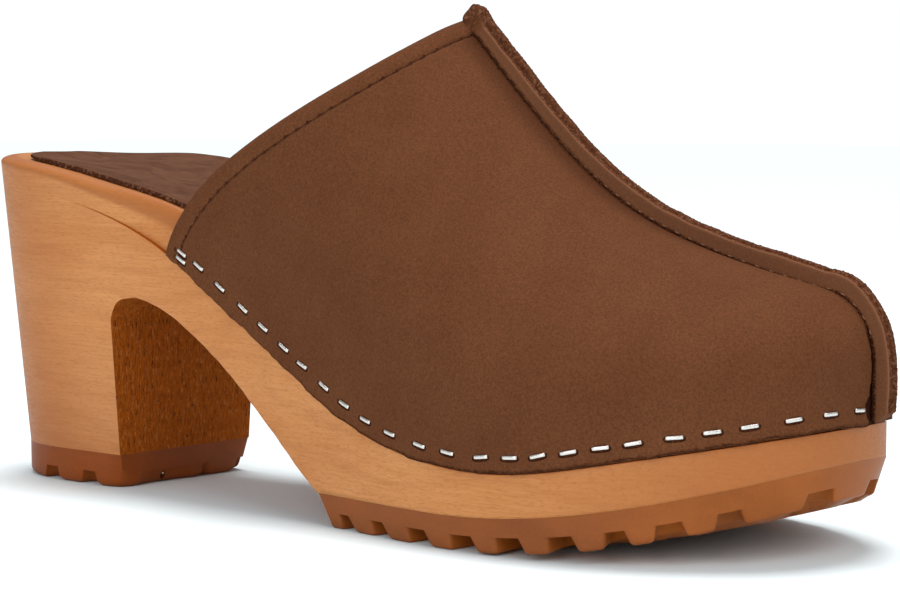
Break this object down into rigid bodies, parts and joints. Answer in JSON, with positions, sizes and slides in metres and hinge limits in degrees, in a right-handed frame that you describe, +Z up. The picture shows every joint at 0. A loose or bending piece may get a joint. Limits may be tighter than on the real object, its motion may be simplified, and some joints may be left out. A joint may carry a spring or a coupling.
{
  "type": "clog",
  "caption": "High-heeled slip-on clog with a sculpted wooden sole, lugged gum rubber treads and a stapled leather upper with a raised centre seam.",
  "frame": {"origin": "middle of the shoe's bounding box, on the floor it stands on", "axes": "+X towards the toe, +Y towards the inner side of the foot, +Z up"},
  "size_m": [0.2538, 0.0909, 0.1181],
  "materials": {
    "wood": "light orange-brown alder, sanded and oiled, satin",
    "upper_leather": "brown waxed nubuck, matt",
    "insole_leather": "dark brown smooth leather, matt",
    "gum_rubber": "caramel gum rubber, slightly glossy",
    "staple_steel": "bright wire"
  },
  "bodies": {
    "root": {"wooden_sole": "wood", "insole": "insole_leather", "forefoot_tread": "gum_rubber", "heel_tread": "gum_rubber", "upper": "upper_leather", "staple_outer_01": "staple_steel", "staple_outer_02": "staple_steel", "staple_outer_03": "staple_steel", "staple_outer_04": "staple_steel", "staple_outer_05": "staple_steel", "staple_outer_06": "staple_steel", "staple_outer_07": "staple_steel", "staple_outer_08": "staple_steel", "staple_outer_09": "staple_steel", "staple_outer_10": "staple_steel", "staple_outer_11": "staple_steel", "staple_outer_12": "staple_steel", "staple_outer_13": "staple_steel", "staple_outer_14": "staple_steel", "staple_outer_15": "staple_steel", "staple_outer_16": "staple_steel", "staple_outer_17": "staple_steel", "staple_outer_18": "staple_steel", "staple_outer_19": "staple_steel", "staple_outer_20": "staple_steel", "staple_outer_21": "staple_steel", "staple_outer_22": "staple_steel", "staple_outer_23": "staple_steel", "staple_outer_24": "staple_steel", "staple_outer_25": "staple_steel", "staple_outer_26": "staple_steel", "staple_inner_01": "staple_steel", "staple_inner_02": "staple_steel", "staple_inner_03": "staple_steel", "staple_inner_04": "staple_steel", "staple_inner_05": "staple_steel", "staple_inner_06": "staple_steel", "staple_inner_07": "staple_steel", "staple_inner_08": "staple_steel", "staple_inner_09": "staple_steel", "staple_inner_10": "staple_steel", "staple_inner_11": "staple_steel", "staple_inner_12": "staple_steel", "staple_inner_13": "staple_steel", "staple_inner_14": "staple_steel", "staple_inner_15": "staple_steel", "staple_inner_16": "staple_steel", "staple_inner_17": "staple_steel", "staple_inner_18": "staple_steel", "staple_inner_19": "staple_steel", "staple_inner_20": "staple_steel", "staple_inner_21": "staple_steel", "staple_inner_22": "staple_steel", "staple_inner_23": "staple_steel", "staple_inner_24": "staple_steel", "staple_inner_25": "staple_steel", "staple_inner_26": "staple_steel"}
  },
  "joints": []
}
